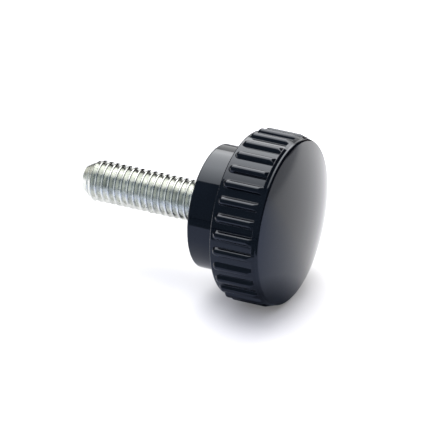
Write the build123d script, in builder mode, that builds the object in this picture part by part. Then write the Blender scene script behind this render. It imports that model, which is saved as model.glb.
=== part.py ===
"""Knurled knob: a glossy moulded head on a threaded steel stud.

The knob's axis lies along X: the stud points to -X and the domed face to +X.
The origin is the centre of the flat seat, where the stud leaves the boss.
All lengths are in millimetres, all angles in degrees.
"""

import os
from math import cos, radians, sin, tan

from build123d import *

# Rim of the head, measured along the axis from the rim's rear face
rib_circle_diameter = 25.0
rim_width = 7.5
rear_edge_chamfer = 0.2
front_edge_chamfer = 0.15
dome_height = 2.2

# Grip ribs, which stand on the land of the rim
rib_count = 30
rib_height = 0.6
rib_crown_radius = 0.6
rib_flank_angle = 30.0
rib_margin = 0.5
rib_start_angle = 1.7
rib_foot_share = 0.1

# Collar that closes the gaps between the ribs at the front, and the bevel and band before it
collar_width = 0.85
bevel_angle = 22.0
band_width = 0.37
band_step = 0.15

# Boss behind the rim, whose flat end is the seat
boss_diameter = 18.0
boss_height = 4.9
boss_edge_chamfer = 0.25

# Stud, outside the knob
thread_diameter = 6.0
stud_length = 20.0
point_diameter = 3.7
point_length = 1.9

# Stud, inside the knob: a plain shoulder that is flush with the seat, then a hexagon head
shoulder_diameter = 6.6
shoulder_length = 3.5
hexagon_width = 10.0
hexagon_height = 4.0

# Cuts run past the faces they open by this much
overrun = 1.0

# Radii and places that follow from the sizes above
rib_radius = rib_circle_diameter / 2
land_radius = rib_radius - rib_height
band_radius = land_radius + band_step
boss_radius = boss_diameter / 2
thread_radius = thread_diameter / 2
point_radius = point_diameter / 2
shoulder_radius = shoulder_diameter / 2

rim_rear = boss_height
rim_front = rim_rear + rim_width
dome_top = rim_front + dome_height
collar_rear = rim_front - collar_width
band_rear = rim_front - band_width
rib_rear = rim_rear + rib_margin


# One grip rib, drawn about the Z axis so that it can be turned into its places: a bar with
# sloped flanks and a round rear end, then a round crown. Its foot is sunk a little into the land.
rib_foot = rib_height * rib_foot_share
rib_foot_radius = land_radius - rib_foot
crown_end_radius = rib_radius - rib_crown_radius * (1 - sin(radians(rib_flank_angle)))
crown_end_half = rib_crown_radius * cos(radians(rib_flank_angle))
rib_half = crown_end_half + (crown_end_radius - land_radius) * tan(radians(rib_flank_angle))
rib_foot_half = rib_half + rib_foot * tan(radians(rib_flank_angle))
rib_end_centre = rib_rear + rib_half

with BuildPart() as grip_rib:
    with BuildSketch(Plane.YZ.offset(rib_foot_radius)) as rib_plan:
        with Locations((0, rib_end_centre)):
            Circle(rib_foot_half)
            Rectangle(2 * rib_foot_half, rim_front - rib_end_centre, align=(Align.CENTER, Align.MIN))
    extrude(amount=rib_foot + rib_height, taper=rib_flank_angle)
    with BuildSketch(Plane.XY.offset(rim_front)) as above_crown:
        with BuildLine():
            ThreePointArc(
                (crown_end_radius, -crown_end_half),
                (rib_radius, 0),
                (crown_end_radius, crown_end_half),
            )
            Polyline(
                (crown_end_radius, crown_end_half),
                (crown_end_radius, rib_foot_half),
                (rib_radius + overrun, rib_foot_half),
                (rib_radius + overrun, -rib_foot_half),
                (crown_end_radius, -rib_foot_half),
                (crown_end_radius, -crown_end_half),
            )
        make_face()
    extrude(amount=-rim_front, mode=Mode.SUBTRACT)


# Threaded stud: its thread is drawn at the outside diameter.
with BuildPart() as threaded_stud:
    with BuildSketch(Plane.XY) as stud_profile:
        with BuildLine():
            Polyline(
                (-stud_length, 0),
                (-stud_length, point_radius),
                (point_length - stud_length, thread_radius),
                (0, thread_radius),
                (0, shoulder_radius),
                (shoulder_length, shoulder_radius),
                (shoulder_length, 0),
                close=True,
            )
        make_face()
    revolve(axis=Axis.X)
    with BuildSketch(Plane.YZ.offset(shoulder_length)) as hexagon_section:
        RegularPolygon(hexagon_width / 2, side_count=6, major_radius=False)
    extrude(amount=hexagon_height)


# Moulded knob: boss, rim and dome are one turned shape. The collar starts as a ring that the
# ribs run into, and one turned cut gives collar and ribs their common bevel, and the band and
# front edge before it. The stud leaves its own hollow.
blank_radius = rib_radius + overrun
cut_radius = blank_radius + overrun
bevel_start = band_rear - (cut_radius - band_radius) / tan(radians(bevel_angle))

with BuildPart() as moulded_knob:
    with BuildSketch(Plane.XY) as knob_profile:
        with BuildLine():
            Polyline(
                (dome_top, 0),
                (0, 0),
                (0, boss_radius),
                (rim_rear, boss_radius),
                (rim_rear, land_radius),
                (collar_rear, land_radius),
                (collar_rear, blank_radius),
                (rim_front, blank_radius),
                (rim_front, band_radius),
            )
            TangentArc((dome_top, 0), (rim_front, band_radius), tangent=(0, 1))
        make_face()
        seat_edge = knob_profile.vertices().sort_by_distance((0, boss_radius))[0]
        chamfer(seat_edge, length=boss_edge_chamfer)
        rear_edge = knob_profile.vertices().sort_by_distance((rim_rear, land_radius))[0]
        chamfer(rear_edge, length=rear_edge_chamfer)
    revolve(axis=Axis.X)
    with Locations(Plane.YZ):
        with PolarLocations(0, rib_count, start_angle=rib_start_angle):
            add(grip_rib.part)
    with BuildSketch(Plane.XY) as front_cut:
        with BuildLine():
            Polyline(
                (bevel_start, cut_radius),
                (band_rear, band_radius),
                (rim_front - front_edge_chamfer, band_radius),
                (rim_front + overrun, band_radius - front_edge_chamfer - overrun),
                (rim_front + overrun, cut_radius),
                close=True,
            )
        make_face()
    revolve(axis=Axis.X, mode=Mode.SUBTRACT)
    add(threaded_stud.part, mode=Mode.SUBTRACT)


moulded_knob.part.label = "moulded_knob"
threaded_stud.part.label = "threaded_stud"

os.makedirs("parts", exist_ok=True)
export_step(moulded_knob.part, "parts/moulded_knob.step")
export_step(threaded_stud.part, "parts/threaded_stud.step")
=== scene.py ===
# %% [markdown]
# # A knurled knob on a threaded stud
#
# The real object is a black plastic head, moulded round a zinc-plated screw.
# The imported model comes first, because it fixes where everything is: its axis lies along X,
# the stud points to -X, and the origin is the middle of the flat seat behind the head.
# Blender works in metres here, so a millimetre is named once and used for every size.

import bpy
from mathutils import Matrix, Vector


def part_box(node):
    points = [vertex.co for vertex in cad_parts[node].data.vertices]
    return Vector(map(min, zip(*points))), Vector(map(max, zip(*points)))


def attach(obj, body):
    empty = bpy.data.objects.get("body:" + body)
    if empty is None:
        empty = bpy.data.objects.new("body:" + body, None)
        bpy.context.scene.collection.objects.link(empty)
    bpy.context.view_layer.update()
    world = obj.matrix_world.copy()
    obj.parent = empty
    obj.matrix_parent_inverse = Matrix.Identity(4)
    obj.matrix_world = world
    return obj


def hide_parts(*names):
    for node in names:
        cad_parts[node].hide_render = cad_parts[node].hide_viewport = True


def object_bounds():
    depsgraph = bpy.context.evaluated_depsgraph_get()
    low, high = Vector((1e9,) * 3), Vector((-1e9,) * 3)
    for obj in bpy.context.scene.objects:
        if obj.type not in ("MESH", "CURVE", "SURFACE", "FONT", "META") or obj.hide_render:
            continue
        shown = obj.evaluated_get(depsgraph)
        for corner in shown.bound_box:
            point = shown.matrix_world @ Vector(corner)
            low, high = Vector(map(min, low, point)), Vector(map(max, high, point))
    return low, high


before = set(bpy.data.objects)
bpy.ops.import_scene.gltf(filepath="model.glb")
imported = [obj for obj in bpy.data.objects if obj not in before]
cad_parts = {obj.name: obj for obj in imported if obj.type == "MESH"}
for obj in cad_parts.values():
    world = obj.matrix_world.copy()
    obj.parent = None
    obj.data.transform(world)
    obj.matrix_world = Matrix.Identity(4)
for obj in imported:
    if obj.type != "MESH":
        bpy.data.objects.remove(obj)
cad_box = [list(corner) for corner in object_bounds()]

from functools import partial
from math import atan2, cos, hypot, pi, radians, sin, sqrt, tan

import bpy
from mathutils import Matrix, Vector

MM = 0.001
scene = bpy.context.scene
print("packed nodes:", sorted(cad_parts))
print("box of the packed model, mm:", [[round(v / MM, 2) for v in corner] for corner in cad_box])

# %% [markdown]
# ## Small helpers for node trees
#
# Shapes and materials are both node trees here. A tree can be drawn by hand in an editor, but a
# script can be read and run again, and it stays short when a node and its links take one line.
# `place` adds a node and fills its sockets: a value is written into the socket, and another
# node's output is linked to it. `calc` does the same for one sum.

# %% Helpers that add and link nodes
def place(tree, kind, inputs=None, **settings):
    """Adds a node, sets its properties, and fills its input sockets by name or number."""
    node = tree.nodes.new(kind)
    for name, value in settings.items():
        setattr(node, name, value)
    for key, value in (inputs or {}).items():
        if isinstance(value, bpy.types.NodeSocket):
            tree.links.new(value, node.inputs[key])
        else:
            node.inputs[key].default_value = value
    return node


def calc(tree, operation, *terms):
    """Adds one Math node and returns its result."""
    return place(tree, "ShaderNodeMath", dict(enumerate(terms)), operation=operation).outputs[0]


print("helpers for node trees: place and calc")

# %% [markdown]
# ## Black moulded plastic
#
# The head is a hard thermoset or nylon moulding with a polished face. Nearly all that one sees
# of it is reflection, so the shader is an almost black base under a clear gloss. Polished
# plastic is never quite even: the tool leaves a faint orange peel, and handling leaves hazy
# patches. Painted pictures could hold both, but they need unwrapped faces and blur close up.
# So two noises make them from the place on the object: a coarse one for the haze in tint and
# roughness, and a fine one for the orange peel.

# %% Helpers for materials
def new_material(name):
    """An empty material, its node tree, and the place of each point on the object."""
    material = bpy.data.materials.new(name)
    material.use_nodes = True
    tree = material.node_tree
    tree.nodes.clear()
    return material, tree, place(tree, "ShaderNodeTexCoord").outputs["Object"]


def ramp(tree, value, *stops):
    """The colour for a value, between (position, colour) stops in rising order."""
    node = place(tree, "ShaderNodeValToRGB", {"Fac": value})
    elements = node.color_ramp.elements
    elements[0].position, elements[0].color = stops[0]
    elements[1].position, elements[1].color = stops[-1]
    for position, colour in stops[1:-1]:
        elements.new(position).color = colour
    return node.outputs["Color"]


print("helpers for materials: new_material and ramp")

# %% Material of the knob
DEEP_BLACK, HAZY_BLACK = (0.0010, 0.0016, 0.0028, 1), (0.0018, 0.0026, 0.0042, 1)
BLUISH_GLOSS = (0.88, 0.93, 1.0, 1)


def moulded_black():
    """Almost black plastic under a clear gloss."""
    material, tree, where = new_material("moulded_black")
    haze = place(tree, "ShaderNodeTexNoise", {
        "Vector": where, "Scale": 260.0, "Detail": 4.0, "Roughness": 0.6}).outputs["Fac"]
    peel = place(tree, "ShaderNodeTexNoise", {
        "Vector": where, "Scale": 2600.0, "Detail": 2.0}).outputs["Fac"]
    tint = ramp(tree, haze, (0.3, DEEP_BLACK), (0.75, HAZY_BLACK))
    rough = place(tree, "ShaderNodeMapRange", {
        "Value": haze, "From Min": 0.3, "From Max": 0.7, "To Min": 0.03, "To Max": 0.07})
    bump = place(tree, "ShaderNodeBump", {"Height": peel, "Strength": 0.06, "Distance": 0.01 * MM})
    shader = place(tree, "ShaderNodeBsdfPrincipled", {
        "Base Color": tint, "Roughness": rough.outputs["Result"], "Normal": bump.outputs["Normal"],
        "IOR": 1.44, "Specular Tint": BLUISH_GLOSS})
    place(tree, "ShaderNodeOutputMaterial", {"Surface": shader.outputs["BSDF"]})
    return material


black = moulded_black()
print("material:", black.name, "with", len(black.node_tree.nodes), "nodes")

# %% [markdown]
# ## Bright zinc plate
#
# The stud is steel with a bright zinc plate. The plate is a clean metal, nearly neutral, with a
# hint of green where it clouds in patches, and a rolled thread keeps fine marks that run round
# the screw. One even metal would be simpler, but it would look like chrome. The patches come
# from an ordinary noise. The marks come from a noise whose coordinates are stretched, so that
# it changes fast along the axis and slowly around it.

# %% Material of the stud
CLOUDED_ZINC, CLEAN_ZINC = (0.50, 0.52, 0.48, 1), (0.84, 0.85, 0.80, 1)
MARKS_STRETCH = (14.0, 1.0, 1.0)


def bright_zinc():
    """Bright metal with cloudy patches and fine marks round the screw."""
    material, tree, where = new_material("bright_zinc")
    stretched = place(tree, "ShaderNodeMapping", {"Vector": where, "Scale": MARKS_STRETCH})
    cloud = place(tree, "ShaderNodeTexNoise", {
        "Vector": where, "Scale": 700.0, "Detail": 5.0, "Roughness": 0.65}).outputs["Fac"]
    marks = place(tree, "ShaderNodeTexNoise", {
        "Vector": stretched.outputs["Vector"], "Scale": 900.0, "Detail": 3.0}).outputs["Fac"]
    tint = ramp(tree, cloud, (0.28, CLOUDED_ZINC), (0.68, CLEAN_ZINC))
    rough = place(tree, "ShaderNodeMapRange", {
        "Value": cloud, "From Min": 0.3, "From Max": 0.7, "To Min": 0.30, "To Max": 0.20})
    bump = place(tree, "ShaderNodeBump", {"Height": marks, "Strength": 0.25, "Distance": 0.02 * MM})
    shader = place(tree, "ShaderNodeBsdfPrincipled", {
        "Base Color": tint, "Metallic": 1.0, "Roughness": rough.outputs["Result"],
        "Normal": bump.outputs["Normal"]})
    place(tree, "ShaderNodeOutputMaterial", {"Surface": shader.outputs["BSDF"]})
    return material


zinc = bright_zinc()
print("material:", zinc.name, "with", len(zinc.node_tree.nodes), "nodes")

# %% [markdown]
# ## The knob's turned outline
#
# Without its ribs the head is a turned shape: a boss with a flat seat, a wider rim, a bevelled
# collar at the rim's front, and a shallow dome. It could be a curve spun round the axis, but
# the ribs have to grow out of the rim without a seam, so the outline is kept as a list of
# points, and the next step decides the radius at every point of a wedge.
# `round_corners` replaces each sharp corner of a line by an arc that touches both sides. A point
# just before and just after each arc keeps the flat faces beside it evenly shaded.

# %% Helpers for the outline
SUPPORT_SHARE = 0.3


def steps(start, end, count):
    """count + 1 even values from start to end."""
    return [start + (end - start) * i / count for i in range(count + 1)]


def round_corners(corners, pieces=5):
    """Points along a line of (x, r, radius of the rounding) corners."""
    line = [corners[0][:2]]
    for before, corner, after in zip(corners, corners[1:], corners[2:]):
        at = Vector(corner[:2])
        radius = corner[2]
        back = (Vector(before[:2]) - at).normalized()
        ahead = (Vector(after[:2]) - at).normalized()
        half = back.angle(ahead) / 2
        centre = at + (back + ahead).normalized() * radius / sin(half)
        reach = radius / tan(half)
        support = reach + SUPPORT_SHARE * radius
        first = at + back * reach - centre
        last = at + ahead * reach - centre
        line.append(tuple(at + back * support))
        for share in steps(0.0, 1.0, pieces):
            line.append(tuple(centre + first.slerp(last, share) * radius))
        line.append(tuple(at + ahead * support))
    line.append(corners[-1][:2])
    return line


example = round_corners([(0.0, 0.0), (0.0, 9.0, 1.0), (9.0, 9.0)])
print("one rounded corner takes", len(example) - 2, "points")

# %% Rear outline, in millimetres: hollow, seat, boss and the rim's rear face
LAND_RADIUS, BOSS_RADIUS, HOLE_RADIUS, HOLLOW_RADIUS = 11.9, 9.0, 3.32, 5.8
RIM_REAR, HEAD_REAR, HEAD_FRONT = 4.9, 3.5, 7.5
HOLE_ROUND, SEAT_ROUND, BOSS_FOOT_ROUND, REAR_ROUND = 0.1, 0.28, 0.3, 0.25
HOLE_END = 0.3
LAND_START = RIM_REAR + 0.35

hollow = [
    (HEAD_FRONT, 0.0),
    (HEAD_FRONT, HOLLOW_RADIUS),
    (HEAD_REAR, HOLLOW_RADIUS),
    (HEAD_REAR, HOLE_RADIUS)]
rear_part = hollow + round_corners([
    (HOLE_END, HOLE_RADIUS),
    (0.0, HOLE_RADIUS, HOLE_ROUND),
    (0.0, BOSS_RADIUS, SEAT_ROUND),
    (RIM_REAR, BOSS_RADIUS, BOSS_FOOT_ROUND),
    (RIM_REAR, LAND_RADIUS, REAR_ROUND),
    (LAND_START, LAND_RADIUS)])
print("rear outline:", len(rear_part), "points, from the hollow to the rim")

# %% Land and collar
COLLAR_REAR, COLLAR_LEAN = 11.55, 0.08
BAND_REAR, BAND_END, BAND_RADIUS = 12.03, 12.09, 12.05
BEVEL_SLOPE = tan(radians(22.0))
COLLAR_FOOT_ROUND, COLLAR_EDGE_ROUND, BAND_ROUND = 0.14, 0.05, 0.06

# Start, end and number of steps: close together where the ribs begin and where they meet the collar
REAR_STRETCH, MIDDLE_STRETCH, FRONT_STRETCH = (5.3, 6.5, 18), (7.4, 10.4, 3), (10.7, 11.2, 10)
LAND_END = 11.25


def bevel_radius(x):
    """Radius of the bevel that cuts off the ribs and the collar at the front."""
    return BAND_RADIUS + (BAND_REAR - x) * BEVEL_SLOPE


land_steps = steps(*REAR_STRETCH) + steps(*MIDDLE_STRETCH) + steps(*FRONT_STRETCH)
land = [(x, LAND_RADIUS) for x in land_steps]
collar = round_corners([
    (LAND_END, LAND_RADIUS),
    (COLLAR_REAR - COLLAR_LEAN, LAND_RADIUS, COLLAR_FOOT_ROUND),
    (COLLAR_REAR, bevel_radius(COLLAR_REAR), COLLAR_EDGE_ROUND),
    (BAND_REAR, BAND_RADIUS, BAND_ROUND),
    (BAND_END, BAND_RADIUS)], pieces=4)
print("land and collar:", len(land) + len(collar), "points")

# %% Front edge and dome
RIM_FRONT, DOME_TOP = 12.4, 14.6
FRONT_ROUND, EDGE_STEPS = 0.4, 9
DOME_STEPS, DOME_SUPPORT_ANGLE = 12, 0.002

dome_height = DOME_TOP - RIM_FRONT
dome_radius = (BAND_RADIUS ** 2 + dome_height ** 2) / (2 * dome_height)
dome_centre = DOME_TOP - dome_radius
edge_radius = BAND_RADIUS - FRONT_ROUND
edge_centre = dome_centre + sqrt((dome_radius - FRONT_ROUND) ** 2 - edge_radius ** 2)
edge_angle = atan2(edge_radius, edge_centre - dome_centre)
front_edge = [
    (edge_centre + FRONT_ROUND * cos(a), edge_radius + FRONT_ROUND * sin(a))
    for a in steps(pi / 2, edge_angle, EDGE_STEPS)]
dome_angles = [edge_angle - DOME_SUPPORT_ANGLE] + steps(edge_angle, 0.0, DOME_STEPS)[1:]
dome = [(dome_centre + dome_radius * cos(a), dome_radius * sin(a)) for a in dome_angles]
print("front edge and dome:", len(front_edge) + len(dome), "points")
print("the dome's radius is", round(dome_radius, 2), "mm")

# %% [markdown]
# ## Thirty grip ribs
#
# The ribs are what a hand feels: straight bars, 12 degrees apart, with a round crown, sloped
# flanks and a round rear end. At the front one bevel cuts off the ribs and the collar alike.
# The ribs could be separate bars joined to a cylinder, but then a hard line would show all
# round each foot. Here one wedge of the head, with one rib in its middle, follows a rule: the
# radius is the larger of the outline and the rib, blended a little where they meet. A Geometry
# Nodes tree repeats the wedge.

# %% The rule for one rib
RIB_RADIUS, RIB_MARGIN = 12.5, 0.5
RIB_HEIGHT = RIB_RADIUS - LAND_RADIUS
CROWN_RADIUS, FLANK_ANGLE = 0.6, radians(30.0)
CROWN_HALF = CROWN_RADIUS * cos(FLANK_ANGLE)
CROWN_END = RIB_HEIGHT - CROWN_RADIUS * (1 - sin(FLANK_ANGLE))
RIB_HALF = CROWN_HALF + CROWN_END * tan(FLANK_ANGLE)
RIB_END = RIM_REAR + RIB_MARGIN + RIB_HALF
FRONT_BLEND, FOOT_BLEND = 0.06, 0.05


def soft_min(a, b, width):
    """The smaller of two values, with the corner between them rounded."""
    near = max(width - abs(a - b), 0.0)
    return min(a, b) - near * near / (4 * width)


def rib_height(off):
    """How far a rib stands over the land, at a distance from its middle line."""
    if off < CROWN_HALF:
        return RIB_HEIGHT - CROWN_RADIUS + sqrt(CROWN_RADIUS ** 2 - off ** 2)
    return (RIB_HALF - off) / tan(FLANK_ANGLE)


def rim_radius(x, radius, angle):
    """Radius of the rim with its rib."""
    off = hypot(LAND_RADIUS * angle, max(RIB_END - x, 0.0))
    rib = soft_min(LAND_RADIUS + rib_height(off), bevel_radius(x), FRONT_BLEND)
    return -soft_min(-radius, -rib, FOOT_BLEND)


print("a rib is", round(RIB_HEIGHT, 2), "mm high and", round(2 * RIB_HALF, 2), "mm wide at its foot")

# %% Helpers for meshes
def sheet_of(rings, closed=False):
    """Vertices and outward faces of a grid of (x, r, angle) rings."""
    vertices = [(x * MM, r * MM * cos(a), r * MM * sin(a)) for ring in rings for x, r, a in ring]
    across = len(rings[0])
    faces = []
    for row in range(len(rings) - 1):
        low = row * across
        high = low + across
        for column in range(across if closed else across - 1):
            beside = (column + 1) % across
            faces.append((low + column, low + beside, high + beside, high + column))
    return vertices, faces


def mesh_object(name, vertices, faces):
    """A new piece in the scene, from vertices and faces."""
    mesh = bpy.data.meshes.new(name)
    mesh.from_pydata(vertices, [], faces)
    mesh.update()
    piece = bpy.data.objects.new(name, mesh)
    scene.collection.objects.link(piece)
    return piece


print("helpers for meshes: sheet_of and mesh_object")

# %% One wedge of the knob
RIB_COUNT, RIB_START = 30, radians(1.7)

# Degrees from the rib's middle line: closest together on the flank and at its foot
HALF_WEDGE = [0.0, 0.5, 1.0, 1.4, 1.8, 2.2, 2.5, 2.85, 3.15, 3.35, 3.55, 3.9, 4.9, 180 / RIB_COUNT]
angles = [radians(a) for a in [-a for a in HALF_WEDGE[:0:-1]] + HALF_WEDGE]

rings = [[(x, r, a) for a in angles] for x, r in rear_part]
rings += [[(x, rim_radius(x, r, a), a) for a in angles] for x, r in land + collar]
rings += [[(x, r, a) for a in angles] for x, r in front_edge + dome]
knob = mesh_object("ribbed_knob", *sheet_of(rings))
print("one wedge:", len(knob.data.vertices), "points,", len(knob.data.polygons), "faces")

# %% Helpers for Geometry Nodes trees
MERGE_GAP = 0.0002 * MM


def new_tree(name, kinds):
    """A tree that takes a piece and named values, and the sockets that hand them on."""
    tree = bpy.data.node_groups.new(name, "GeometryNodeTree")
    tree.interface.new_socket("Geometry", in_out="INPUT", socket_type="NodeSocketGeometry")
    for label, kind in kinds.items():
        tree.interface.new_socket(label, in_out="INPUT", socket_type="NodeSocket" + kind)
    tree.interface.new_socket("Geometry", in_out="OUTPUT", socket_type="NodeSocketGeometry")
    return tree, place(tree, "NodeGroupInput").outputs


def end_tree(tree, geometry, finish):
    """Makes copies real, closes their seams, and gives the mesh its shading and finish."""
    real = place(tree, "GeometryNodeRealizeInstances", {"Geometry": geometry})
    joined = place(tree, "GeometryNodeMergeByDistance", {
        "Geometry": real.outputs[0], "Distance": MERGE_GAP})
    smooth = place(tree, "GeometryNodeSetShadeSmooth", {"Geometry": joined.outputs[0]})
    finished = place(tree, "GeometryNodeSetMaterial", {
        "Geometry": smooth.outputs[0], "Material": finish})
    place(tree, "NodeGroupOutput", {"Geometry": finished.outputs[0]})
    print("tree:", tree.name, "with", len(tree.nodes), "nodes")


def run_tree(piece, tree, values):
    """Runs a tree on a piece and keeps the result as the piece's own mesh."""
    modifier = piece.modifiers.new(tree.name, "NODES")
    modifier.node_group = tree
    for socket in tree.interface.items_tree:
        if socket.name in values:
            modifier[socket.identifier] = values[socket.name]
    made = piece.evaluated_get(bpy.context.evaluated_depsgraph_get())
    mesh = bpy.data.meshes.new_from_object(made)
    piece.modifiers.remove(modifier)
    old = piece.data
    piece.data = mesh
    bpy.data.meshes.remove(old)
    mesh.name = piece.name
    triangles = sum(len(face.vertices) - 2 for face in mesh.polygons)
    print(piece.name + ":", len(mesh.vertices), "points,", triangles, "triangles")


print("helpers for Geometry Nodes: new_tree, end_tree and run_tree")

# %% Repeat the wedge round the axis
ring_tree, given = new_tree("wedges_round_axis", {
    "Rib count": "Int", "First rib angle": "Float", "Finish": "Material"})
step = calc(ring_tree, "DIVIDE", 2 * pi, given["Rib count"])
number = place(ring_tree, "GeometryNodeInputIndex").outputs["Index"]
turn = calc(ring_tree, "MULTIPLY_ADD", number, step, given["First rib angle"])
turned = place(ring_tree, "FunctionNodeAxisAngleToRotation", {"Axis": (1.0, 0.0, 0.0), "Angle": turn})
points = place(ring_tree, "GeometryNodePoints", {"Count": given["Rib count"]})
wedges = place(ring_tree, "GeometryNodeInstanceOnPoints", {
    "Points": points.outputs[0], "Instance": given["Geometry"], "Rotation": turned.outputs[0]})
end_tree(ring_tree, wedges.outputs[0], given["Finish"])
run_tree(knob, ring_tree, {"Rib count": RIB_COUNT, "First rib angle": RIB_START, "Finish": black})

# %% [markdown]
# ## The stud's blank
#
# A screw starts as a plain turned blank: a pointed rod, a shoulder and a hexagon head. Shoulder
# and head are inside the moulding, where they keep the stud from turning and pulling out.
# A cylinder with a cone would show the same outline, but it has no points between its ends.
# So the blank is a grid of rings along the axis, twenty to a turn, close enough together to
# take a thread.

# %% Outline of the blank, in millimetres
PITCH, RINGS_PER_TURN = 1.0, 20
THREAD_RADIUS, STUD_LENGTH = 3.0, 20.0
POINT_RADIUS, POINT_LENGTH = 1.85, 1.9
END_RINGS, END_EDGE = (0.0, 1.0, 1.6), 0.05
SHOULDER_RADIUS = 3.3
SLIVER = 0.01

blank = [(-STUD_LENGTH, r) for r in END_RINGS]
blank.append((-STUD_LENGTH + SLIVER, POINT_RADIUS - END_EDGE))
slope = (THREAD_RADIUS - POINT_RADIUS) / POINT_LENGTH
shank_steps = steps(-STUD_LENGTH, 0.0, round(STUD_LENGTH / PITCH * RINGS_PER_TURN))
for x in shank_steps[1:]:
    blank.append((x, min(THREAD_RADIUS, POINT_RADIUS + slope * (x + STUD_LENGTH))))
blank += [(SLIVER, SHOULDER_RADIUS), (HEAD_REAR, SHOULDER_RADIUS)]
print("outline of the blank:", len(blank), "points")

# %% Blank with its hexagon head
HEAD_FLAT, AROUND = 5.0, 72


def hexagon(angle):
    """Distance from the axis to the side of the hexagon head."""
    return HEAD_FLAT / cos((angle % (pi / 3)) - pi / 6)


blank_angles = [2 * pi * i / AROUND for i in range(AROUND)]
stud_rings = [[(x, r, a) for a in blank_angles] for x, r in blank]
for x, share in ((HEAD_REAR, 1.0), (HEAD_FRONT, 1.0), (HEAD_FRONT, 0.0)):
    stud_rings.append([(x, share * hexagon(a), a) for a in blank_angles])
stud = mesh_object("zinc_stud", *sheet_of(stud_rings, closed=True))
print("blank:", len(stud.data.vertices), "points,", len(stud.data.polygons), "faces")

# %% [markdown]
# ## Cutting the thread
#
# A thread is a groove that moves one pitch along the axis in each turn. It could be a profile
# swept along a helix and cut away, but such cuts often leave torn faces. Here its depth depends
# on one number only: the place along the axis, less the share of a turn, within one pitch. The
# tree works that number out for each point and draws the point in where the groove is deeper
# than the blank. The pointed end then cuts the last crests off by itself, as it does on a
# real screw. Soft minimum and maximum round the broad crest and the root, as rolling does.

# %% How deep the groove is at each point
CREST_SHARE, SOFT_SHARE = 1 / 8, 0.08
THREAD_FLANK = radians(30.0)
MIDDLE_OF_PITCH = 0.5

thread_tree, given = new_tree("cut_thread", {
    "Pitch": "Float", "Outside radius": "Float", "Depth": "Float",
    "Start of the thread": "Float", "End of the shank": "Float", "Finish": "Material"})
work = partial(calc, thread_tree)
position = place(thread_tree, "GeometryNodeInputPosition").outputs["Position"]
spot = place(thread_tree, "ShaderNodeSeparateXYZ", {"Vector": position}).outputs
pitch = given["Pitch"]
turn_share = work("DIVIDE", work("ARCTAN2", spot["Z"], spot["Y"]), 2 * pi)
travel = work("SUBTRACT", work("DIVIDE", spot["X"], pitch), turn_share)
within = work("FRACT", work("ADD", travel, given["Start of the thread"]))
from_crest = work("ABSOLUTE", work("SUBTRACT", within, MIDDLE_OF_PITCH))
flank = work("DIVIDE", work("SUBTRACT", from_crest, CREST_SHARE), tan(THREAD_FLANK))
soft = work("MULTIPLY", pitch, SOFT_SHARE)
sunk = work("SMOOTH_MIN", work("MULTIPLY", flank, pitch), given["Depth"], soft)
sunk = work("SMOOTH_MAX", sunk, 0.0, soft)
groove = work("SUBTRACT", given["Outside radius"], sunk)
print("the groove's depth takes", len(thread_tree.nodes), "nodes")

# %% Draw the points in and keep the mesh
AXIS_GAP = 0.001 * MM
THREAD_DEPTH, THREAD_START = 0.58 * PITCH, 0.335

off_axis = place(thread_tree, "ShaderNodeCombineXYZ", {"Y": spot["Y"], "Z": spot["Z"]})
from_axis = place(thread_tree, "ShaderNodeVectorMath", {0: off_axis.outputs[0]}, operation="LENGTH")
safe = work("MAXIMUM", from_axis.outputs["Value"], AXIS_GAP)
scale = work("DIVIDE", work("MINIMUM", safe, groove), safe)
on_shank = work("LESS_THAN", spot["X"], given["End of the shank"])
scale = work("ADD", work("MULTIPLY", work("SUBTRACT", scale, 1.0), on_shank), 1.0)
cut = place(thread_tree, "ShaderNodeCombineXYZ", {
    "X": spot["X"], "Y": work("MULTIPLY", spot["Y"], scale), "Z": work("MULTIPLY", spot["Z"], scale)})
moved = place(thread_tree, "GeometryNodeSetPosition", {
    "Geometry": given["Geometry"], "Position": cut.outputs[0]})
end_tree(thread_tree, moved.outputs[0], given["Finish"])
run_tree(stud, thread_tree, {
    "Pitch": PITCH * MM, "Outside radius": THREAD_RADIUS * MM, "Depth": THREAD_DEPTH * MM,
    "Start of the thread": THREAD_START, "End of the shank": SLIVER / 2 * MM, "Finish": zinc})

# %% [markdown]
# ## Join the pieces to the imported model
#
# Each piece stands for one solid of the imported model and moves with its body. The pieces could
# be parented by hand, but then nothing would say which solid each of them replaces. Nothing on
# this knob moves against anything else, so there is one body, the root.

# %% Tie the pieces to the frame
for piece, node, slot in (
        (knob, "moulded_knob", "moulded_knob"),
        (stud, "threaded_stud", "threaded_stud")):
    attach(piece, "root")
    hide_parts(node)
    low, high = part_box(node)
    size = [round((b - a) / MM, 2) for a, b in zip(low, high)]
    print(piece.name, "stands for", node, "of", size, "mm")

# %% [markdown]
# ## White paper under the knob
#
# The knob lies on its rim on plain white paper, which takes a soft shadow. Gloss is a mirror,
# though, and in the mirror the paper gets tones painted into its colour: pale behind the knob, a
# painted bluish shade in front of it, painted dark near the lens and at its far end, and a
# painted contact shadow by the spot where the rim touches it. In a studio, flags and cloths just
# out of the picture would give such shade. They could be built as cards, but each card would cast
# a shadow of its own. So the paper's material holds this painted shade, and only mirrored rays
# see it.

# %% Floor
FLOOR_HEIGHT = cad_box[0][2]
FLOOR_CORNERS = ((-3, -3), (3, -3), (3, 3), (-3, 3))
floor = mesh_object("floor", [(x, y, FLOOR_HEIGHT) for x, y in FLOOR_CORNERS], [(0, 1, 2, 3)])
paper, sheet, on_sheet = new_material("white_paper")


def beyond(edge, operation, other):
    """0 before an edge and 1 beyond it, as a spot lies along a direction or round a middle."""
    measure = place(sheet, "ShaderNodeVectorMath", {0: on_sheet, 1: other}, operation=operation)
    return place(sheet, "ShaderNodeMapRange", {
        "Value": measure.outputs["Value"],
        "From Min": edge[0] * MM, "From Max": edge[1] * MM}).outputs["Result"]


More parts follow.
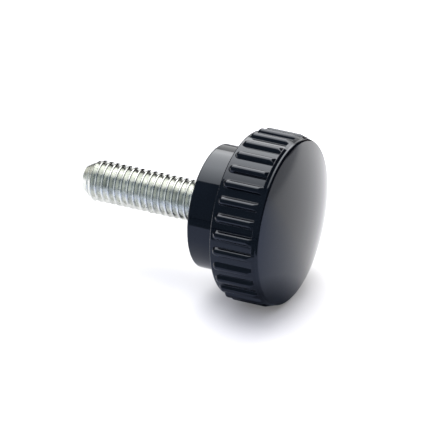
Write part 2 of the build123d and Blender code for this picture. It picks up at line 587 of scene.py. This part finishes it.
def blend(tree, share, first, second):
    """Mixes two colours: each is a colour or the output of another node."""
    # By number, because the node's sockets for numbers, vectors and colours share their names
    sockets = {0: share, 6: first, 7: second}
    return place(tree, "ShaderNodeMix", sockets, data_type="RGBA").outputs[2]


print("floor at", round(FLOOR_HEIGHT / MM, 2), "mm")

# %% Painted shade of the paper, seen only in gloss
SEEN_PAPER = (0.58, 0.58, 0.58, 1)
# Painted tones for mirrored rays only: pale paper, a painted bluish shade in front, painted dark near the
# lens
PALE, PAINTED_FRONT_SHADE, DARK = (0.5, 0.5, 0.5, 1), (0.30, 0.335, 0.43, 1), (0.05, 0.07, 0.09, 1)
# A painted contact shadow by the rim, and painted dark at the paper's far end, darkest on the right
PAINTED_CONTACT_SHADOW, FAR_LEFT, FAR_RIGHT = (0.10, 0.113, 0.145, 1), (0.15, 0.15, 0.15, 1), (0.005, 0.005, 0.006, 1)

# Across the picture and away from the camera, and the edges between tones, in millimetres
RIGHT_WAY = Vector((0.90441, 0.42666, 0.0))
AWAY = Vector((-RIGHT_WAY.y, RIGHT_WAY.x, 0.0))
LENS_EDGE, PALE_EDGE, FAR_EDGE, SIDE_EDGE = (-46, -42), (-16, 2), (88, 97), (10, 32)
# Where the painted contact shadow lies and how far it fades
PAINTED_SHADOW_EDGE = (4, 11)
PAINTED_SHADOW_MIDDLE = (11.5 * MM, -5.6 * MM, FLOOR_HEIGHT)

# Painted shade in the mirrored paper: bluish in front, dark near the lens, a painted contact shadow by the
# rim
painted_near_shade = blend(sheet, beyond(PALE_EDGE, "DOT_PRODUCT", AWAY), PAINTED_FRONT_SHADE, PALE)
painted_near_shade = blend(sheet, beyond(LENS_EDGE, "DOT_PRODUCT", AWAY), DARK, painted_near_shade)
painted_near_shade = blend(sheet, beyond(PAINTED_SHADOW_EDGE, "DISTANCE", PAINTED_SHADOW_MIDDLE), PAINTED_CONTACT_SHADOW, painted_near_shade)
# Painted dark at the paper's far end, darkest on the right
painted_far_shade = blend(sheet, beyond(SIDE_EDGE, "DOT_PRODUCT", RIGHT_WAY), FAR_LEFT, FAR_RIGHT)
painted_mirror_shade = blend(sheet, beyond(FAR_EDGE, "DOT_PRODUCT", AWAY), painted_near_shade, painted_far_shade)
# Mirrored rays see the painted shade; the camera sees plain paper
mirrored = place(sheet, "ShaderNodeLightPath").outputs["Is Glossy Ray"]
paper_shader = place(sheet, "ShaderNodeBsdfPrincipled", {
    "Base Color": blend(sheet, mirrored, SEEN_PAPER, painted_mirror_shade), "Roughness": 0.9, "Specular IOR Level": 0.0})
place(sheet, "ShaderNodeOutputMaterial", {"Surface": paper_shader.outputs["BSDF"]})
floor.data.materials.append(paper)
print("material:", paper.name, "with", len(sheet.nodes), "nodes")

# %% [markdown]
# ## The room
#
# Gloss in an empty black world looks cut out of card. A panorama of a real room could surround
# the knob, but two tones are enough: the room is dim all round, and bluish towards the camera,
# where ribs and boss mirror it. The camera itself sees white beyond the paper's edge.

# %% Room
FRONT_WAY = (-0.25, -0.97, 0.0)
DIM_WALL, FRONT_WALL, WHITE = (0.02, 0.02, 0.02, 1), (0.15, 0.20, 0.27, 1), (1.0, 1.0, 1.0, 1)

room = bpy.data.worlds.new("dim_room")
room.use_nodes = True
walls = room.node_tree
looking = place(walls, "ShaderNodeTexCoord").outputs["Generated"]
facing_front = place(walls, "ShaderNodeVectorMath", {0: looking, 1: FRONT_WAY}, operation="DOT_PRODUCT")
paint = ramp(walls, facing_front.outputs["Value"], (0.0, DIM_WALL), (0.5, FRONT_WALL))
seen = place(walls, "ShaderNodeLightPath").outputs["Is Camera Ray"]
walls.links.new(blend(walls, seen, paint, WHITE), walls.nodes["Background"].inputs["Color"])
scene.world = room
print("room:", room.name, "with", len(walls.nodes), "nodes")

# %% [markdown]
# ## One broad panel
#
# The main light is a soft panel overhead. It hangs mostly on the stud's side, and reaches from a
# little in front of the knob to far behind it. A small lamp would do for the shadow, but gloss
# would show it as a dot. The panel's edges draw the bright and dark bands along boss, ribs and
# dome, so those bands set its place. Its two ends are weaker, which makes the bands end softly.

# %% Helpers for lamps
def area_lamp(name, shape, wide, high, shine, colour=(1.0, 1.0, 1.0)):
    """A lamp with a flat face, in metres; shine sets how bright the face is, whatever its size."""
    lamp = bpy.data.lights.new(name, "AREA")
    lamp.shape = shape
    lamp.size = wide
    lamp.size_y = high
    face = wide * high * (pi / 4 if shape == "DISK" else 1.0)
    lamp.energy = shine * pi * face
    lamp.color = colour
    return lamp


def hang(lamp, middle, facing=None):
    """Hangs a lamp in the scene: it shines straight down, or the way that it is made to face."""
    lamp_object = bpy.data.objects.new(lamp.name, lamp)
    lamp_object.location = middle
    if facing is not None:
        lamp_object.rotation_euler = facing.to_track_quat("-Z", "Y").to_euler()
    scene.collection.objects.link(lamp_object)
    return lamp_object


print("helpers for lamps: area_lamp and hang")

# %% Light panel
PANEL_HEIGHT, PANEL_SHINE = 0.6, 5.8
NEAR_END, FAR_END = (0.40, 0.40, 0.40, 1), (0.35, 0.35, 0.35, 1)
# The panel's edges, in panel heights from the origin
LEFT, RIGHT, NEAR, FAR = -0.9, 0.15, -0.40, 2.0

panel_wide = (RIGHT - LEFT) * PANEL_HEIGHT
panel_long = (FAR - NEAR) * PANEL_HEIGHT
panel = area_lamp("light_panel", "RECTANGLE", panel_wide, panel_long, PANEL_SHINE)
panel.use_nodes = True
panel_tree = panel.node_tree
on_panel = place(panel_tree, "ShaderNodeNewGeometry").outputs["Parametric"]
lengthways = place(panel_tree, "ShaderNodeSeparateXYZ", {"Vector": on_panel}).outputs["Y"]
falloff = ramp(panel_tree, lengthways, (0.0, NEAR_END), (0.25, WHITE), (0.67, WHITE), (1.0, FAR_END))
panel_tree.links.new(falloff, panel_tree.nodes["Emission"].inputs["Color"])
panel_middle = Vector(((LEFT + RIGHT) / 2, (NEAR + FAR) / 2, 1.0)) * PANEL_HEIGHT
panel_object = hang(panel, panel_middle)
print("light panel:", round(panel.size, 2), "by", round(panel.size_y, 2), "m,", round(panel.energy, 1), "W")

# %% [markdown]
# ## Glow, fill and pool
#
# Three weaker lights help the panel. A round glow, low behind the knob, shows in faces that one
# sees at a glancing angle. A broad fill lightens the shadow. As a second lamp in the gloss it
# would spoil the bands, so reflections leave it out. A spot makes a pool of light on the paper
# behind the knob, which the dome mirrors. It casts no shadow, because the photograph shows only
# one. A stronger panel could replace the three, but it would wash out the bands.

# %% Glow behind the knob
GLOW_WAY = Vector((-0.37, 0.91, 0.17)).normalized()
GLOW_HALF_ANGLE, GLOW_SHINE = radians(30.7), 1.3
DISK_MIDDLE, GLOW_CORE, GLOW_RIM = (0.5, 0.5, 0.0), 0.23, 0.5

glow_wide = 2 * tan(GLOW_HALF_ANGLE)
glow = area_lamp("back_glow", "DISK", glow_wide, glow_wide, GLOW_SHINE)
glow.use_nodes = True
glow_tree = glow.node_tree
on_disk = place(glow_tree, "ShaderNodeNewGeometry").outputs["Parametric"]
from_middle = place(glow_tree, "ShaderNodeVectorMath", {0: on_disk, 1: DISK_MIDDLE}, operation="DISTANCE")
fade = place(glow_tree, "ShaderNodeMapRange", {
    "Value": from_middle.outputs["Value"],
    "From Min": GLOW_CORE, "From Max": GLOW_RIM, "To Min": 1.0, "To Max": 0.0})
glow_tree.links.new(fade.outputs["Result"], glow_tree.nodes["Emission"].inputs["Strength"])
glow_object = hang(glow, GLOW_WAY, -GLOW_WAY)
print("back glow:", round(glow.size, 2), "m wide,", round(glow.energy, 2), "W")

# %% Fill light
FILL_WIDE, FILL_SHINE, FILL_TINT = 2.0, 2.381, (0.92, 0.91, 1.0)
FILL_SPOT = Vector((-0.06, -0.35, 0.84))

fill = area_lamp("fill_light", "DISK", FILL_WIDE, FILL_WIDE, FILL_SHINE, FILL_TINT)
fill_object = hang(fill, FILL_SPOT, -FILL_SPOT)
fill_object.visible_glossy = False
print("fill light:", round(fill.energy, 1), "W, left out of the reflections")

# %% Pool of light on the paper behind the knob
POOL_TARGET = Vector((50 * MM, 88 * MM, FLOOR_HEIGHT))
POOL_DISTANCE, POOL_RISE = 0.6, radians(40.0)

pool_way = Vector((0.0, cos(POOL_RISE), sin(POOL_RISE)))
pool = bpy.data.lights.new("pool_light", "SPOT")
pool.energy = 37.0
pool.color = (1.0, 0.98, 0.94)
pool.spot_size = radians(14.2)
pool.spot_blend = 1.0
pool.use_shadow = False
pool_object = hang(pool, POOL_TARGET + POOL_DISTANCE * pool_way, -pool_way)
pool_object.visible_glossy = False
print("pool light:", pool.energy, "W, on the paper behind the knob")

# %% [markdown]
# ## Light for the stud
#
# Zinc plate returns more than ten times the light that black plastic does, so under the same
# panel the stud would be a white blur. Darker plate would be simpler, but it would no longer
# look like zinc. A photographer hangs a scrim, a thin cloth, between lamp and metal, and sets
# small cards where the metal needs a tone to mirror. Light linking does the same here: the
# stud has a weaker copy of the panel and three cards, which nothing else sees.

# %% Scrim for the stud
SCRIM_SHARE = 0.46


def link_light(light_object, piece, state):
    """Makes a light shine on one piece only, or on everything but that piece."""
    group = bpy.data.collections.new(light_object.name + "_receivers")
    group.objects.link(piece)
    light_object.light_linking.receiver_collection = group
    group.collection_objects[0].light_linking.link_state = state


link_light(panel_object, stud, "EXCLUDE")
link_light(glow_object, stud, "EXCLUDE")
scrim = panel.copy()
scrim.name = "scrimmed_panel"
scrim.energy = SCRIM_SHARE * panel.energy
link_light(hang(scrim, panel_middle), stud, "INCLUDE")
print("scrimmed panel:", round(scrim.energy, 1), "W, on the stud only")

# %% Cards for the stud
CARD_TINT, STRIP_TINT = (1.0, 1.0, 0.91), (1.0, 0.96, 0.6)
GREY_SPOT, TIP_SPOT = Vector((-0.55, -0.40, 0.28)), Vector((-0.60, 0.28, 0.22))
STRIP_LIFT = 1 * MM
STRIP_SPOT = Vector((-0.055, -0.121, FLOOR_HEIGHT + STRIP_LIFT))
UPWARD = Vector((0.0, 0.0, 1.0))

grey_card = area_lamp("grey_card", "RECTANGLE", wide=1.2, high=0.6, shine=0.58, colour=CARD_TINT)
tip_card = area_lamp("tip_card", "RECTANGLE", wide=0.35, high=0.35, shine=0.85, colour=CARD_TINT)
pale_strip = area_lamp("pale_strip", "RECTANGLE", wide=0.14, high=0.16, shine=0.26, colour=STRIP_TINT)
for card, middle, facing in (
        (grey_card, GREY_SPOT, -GREY_SPOT),
        (tip_card, TIP_SPOT, -TIP_SPOT),
        (pale_strip, STRIP_SPOT, UPWARD)):
    link_light(hang(card, middle, facing), stud, "INCLUDE")
    print(card.name + ":", round(card.size, 2), "by", round(card.size_y, 2), "m, on the stud only")

# %% [markdown]
# ## Camera
#
# The picture is taken from more than a metre away with a long lens, so the ribs stay nearly
# parallel. A camera could be set by eye, but here its directions, distance and lens come from
# matching the knob's outlines, so that the model lies where the knob lies in the photograph.
# The plain view transform keeps whites white, as in a catalogue picture.

# %% Camera
AIM = Vector((2.26, -1.97, -1.25)) * MM
UP_WAY = Vector((-0.19805, 0.41983, 0.8857))
CAMERA_DISTANCE = 1107.3 * MM

toward = RIGHT_WAY.cross(UP_WAY).normalized()
camera_data = bpy.data.cameras.new("camera")
camera_data.sensor_width = 36.0
camera_data.lens = 632.0
camera_data.clip_end = 10.0
camera = bpy.data.objects.new("camera", camera_data)
turn = Matrix((RIGHT_WAY, toward.cross(RIGHT_WAY), toward)).transposed()
camera.matrix_world = Matrix.Translation(AIM + toward * CAMERA_DISTANCE) @ turn.to_4x4()
scene.collection.objects.link(camera)
scene.camera = camera
scene.view_settings.view_transform = "Standard"
camera_spot = [round(v, 3) for v in camera.matrix_world.translation]
print("camera at", camera_spot, "m, lens", round(camera_data.lens), "mm")
